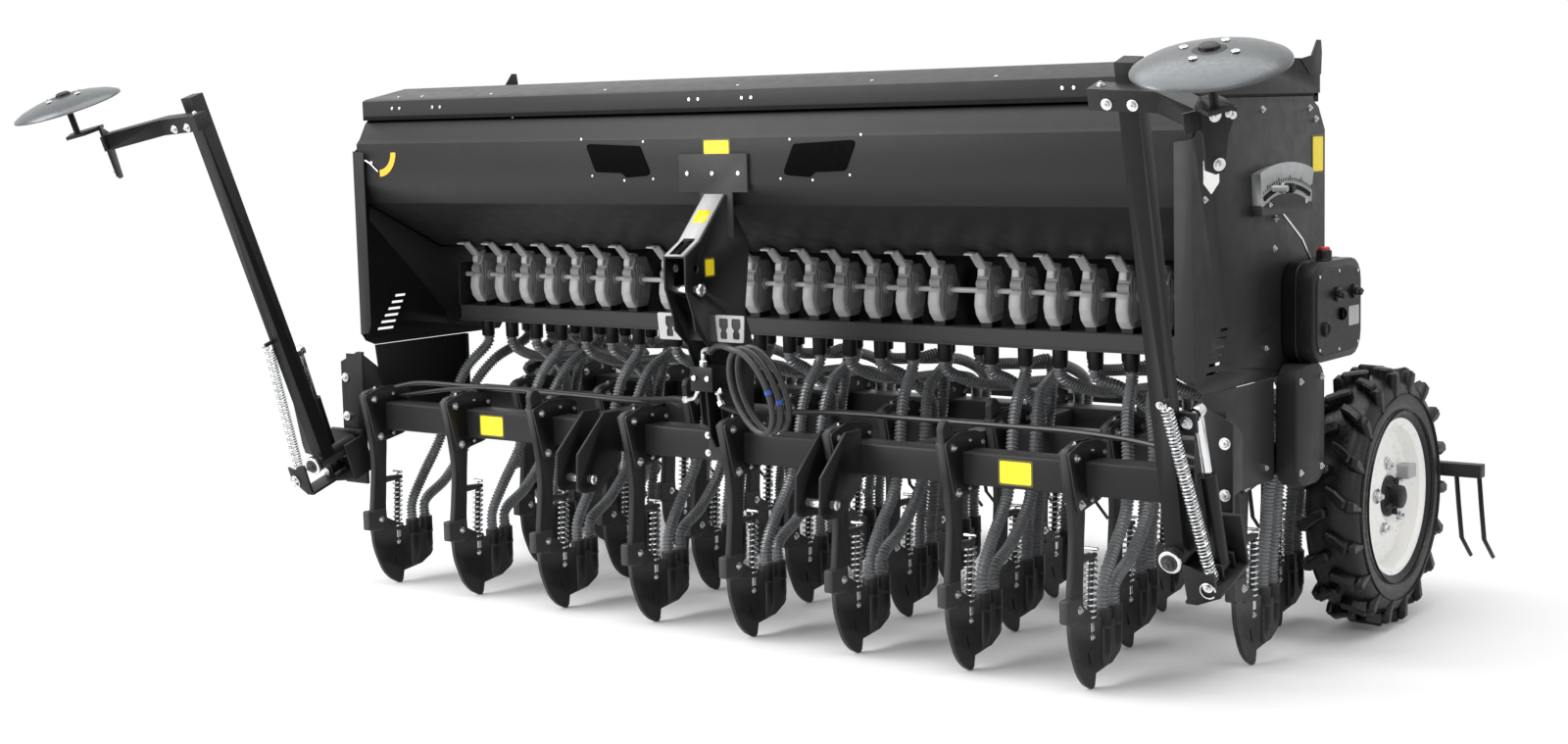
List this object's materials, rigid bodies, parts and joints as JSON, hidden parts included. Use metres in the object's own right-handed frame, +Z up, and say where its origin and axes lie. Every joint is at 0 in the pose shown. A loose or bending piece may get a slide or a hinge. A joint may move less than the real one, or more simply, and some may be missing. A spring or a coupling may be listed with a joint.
{
  "type": "mounted seed drill",
  "caption": "Mounted seed drill with a split seed and fertiliser hopper, sprung hoe coulters on toolbars, drive wheels, harrow and folding disc markers.",
  "frame": {"origin": "centre of the bounding box's floor, on the ground under the hopper's front", "axes": "+Z up, +Y to the rear walkway and harrow, +X to the gearbox side; the long side of the machine lies along X"},
  "size_m": [4.2232, 2.6375, 1.694],
  "materials": {
    "black_paint": "satin",
    "grey_plastic": "matte",
    "ribbed_hose": "matte, ribbed",
    "black_plastic": "matte",
    "plated_scale": "satin",
    "zinc_steel": "bright zinc",
    "rubber_hose": "satin",
    "tyre": "matte",
    "white_rim": "gloss",
    "disc_steel": "satin",
    "chrome_rod": "polished"
  },
  "bodies": {
    "frame": {"front_row": "black_paint", "middle_row": "black_paint", "rear_row": "black_paint", "hopper": "black_paint", "hopper_divider": "black_paint", "seed_meters": "grey_plastic", "fertiliser_meters": "grey_plastic", "seed_tubes": "ribbed_hose", "fertiliser_tubes": "ribbed_hose", "headstock": "black_paint", "drive_gearbox": "black_plastic", "chain_guard": "black_paint", "rate_scale": "plated_scale", "harrow": "black_paint", "walkway": "black_paint", "valve_block": "zinc_steel", "hose_coil": "rubber_hose", "side_panel_right": "black_paint", "side_panel_left": "black_paint", "lower_panel_right": "black_paint", "lower_panel_left": "black_paint", "wheel_arm_right": "black_paint", "wheel_arm_left": "black_paint", "marker_bracket_right": "black_paint", "marker_bracket_left": "black_paint", "rear_arm_right": "black_paint", "rear_arm_left": "black_paint", "front_rail_right": "black_paint", "front_rail_left": "black_paint", "rear_rail_right": "black_paint", "rear_rail_left": "black_paint", "lower_link_right": "black_paint", "lower_link_left": "black_paint", "marker_spring_right": "zinc_steel", "marker_spring_left": "zinc_steel"},
    "lid": {"lid": "black_paint"},
    "wheel_right": {"tyre_right": "tyre", "rim_right": "white_rim"},
    "marker_right": {"marker_arm_right": "black_paint"},
    "marker_disc_right": {"marker_disc_right": "disc_steel"},
    "ram_barrel_right": {"ram_barrel_right": "black_paint"},
    "ram_rod_right": {"ram_rod_right": "chrome_rod"},
    "wheel_left": {"tyre_left": "tyre", "rim_left": "white_rim"},
    "marker_left": {"marker_arm_left": "black_paint"},
    "marker_disc_left": {"marker_disc_left": "disc_steel"},
    "ram_barrel_left": {"ram_barrel_left": "black_paint"},
    "ram_rod_left": {"ram_rod_left": "chrome_rod"}
  },
  "joints": [
    {"name": "lid_hinge", "type": "hinge", "parent": "frame", "child": "lid", "pos_m": [0, -0.3326, 1.5475], "axis": [1, 0, 0], "range_deg": [0, 95]},
    {"name": "wheel_right_spin", "type": "hinge", "parent": "frame", "child": "wheel_right", "pos_m": [1.532, 0.7554, 0.381], "axis": [1, 0, 0], "continuous": true},
    {"name": "marker_right_swing", "type": "hinge", "parent": "frame", "child": "marker_right", "pos_m": [1.55, -0.5286, 0.44], "axis": [0, 0.9489, 0.3156], "range_deg": [0, 80], "deforming": ["marker_spring_right"]},
    {"name": "marker_disc_right_spin", "type": "hinge", "parent": "marker_right", "child": "marker_disc_right", "pos_m": [1.94414, -1.1626, 1.62372], "axis": [0.0645, -0.315, 0.9469], "continuous": true},
    {"name": "ram_barrel_right_turn", "type": "hinge", "parent": "frame", "child": "ram_barrel_right", "pos_m": [1.612, -0.42933, 0.39504], "axis": [0, 0.9489, 0.3156], "range_deg": [0, 76.01]},
    {"name": "ram_rod_right_slide", "type": "slide", "parent": "ram_barrel_right", "child": "ram_rod_right", "axis": [0.0071, -0.3156, 0.9489], "range_m": [-0.12164, 0]},
    {"name": "wheel_left_spin", "type": "hinge", "parent": "frame", "child": "wheel_left", "pos_m": [-1.532, 0.7554, 0.381], "axis": [1, 0, 0], "continuous": true},
    {"name": "marker_left_swing", "type": "hinge", "parent": "frame", "child": "marker_left", "pos_m": [-1.55, -0.5286, 0.44], "axis": [0, -0.9489, -0.3156], "range_deg": [0, 80], "deforming": ["marker_spring_left"]},
    {"name": "marker_disc_left_spin", "type": "hinge", "parent": "marker_left", "child": "marker_disc_left", "pos_m": [-1.94414, -1.1626, 1.62372], "axis": [-0.0645, -0.315, 0.9469], "continuous": true},
    {"name": "ram_barrel_left_turn", "type": "hinge", "parent": "frame", "child": "ram_barrel_left", "pos_m": [-1.612, -0.42933, 0.39504], "axis": [0, -0.9489, -0.3156], "range_deg": [0, 76.01]},
    {"name": "ram_rod_left_slide", "type": "slide", "parent": "ram_barrel_left", "child": "ram_rod_left", "axis": [-0.0071, -0.3156, 0.9489], "range_m": [-0.12164, 0]}
  ],
  "couplings": [
    {"joint": "ram_barrel_right_turn", "follows": "marker_right_swing", "ratio": 0.95001},
    {"joint": "ram_rod_right_slide", "follows": "marker_right_swing", "m_per_rad": -0.087107},
    {"joint": "ram_barrel_left_turn", "follows": "marker_left_swing", "ratio": 0.95001},
    {"joint": "ram_rod_left_slide", "follows": "marker_left_swing", "m_per_rad": -0.087107}
  ]
}
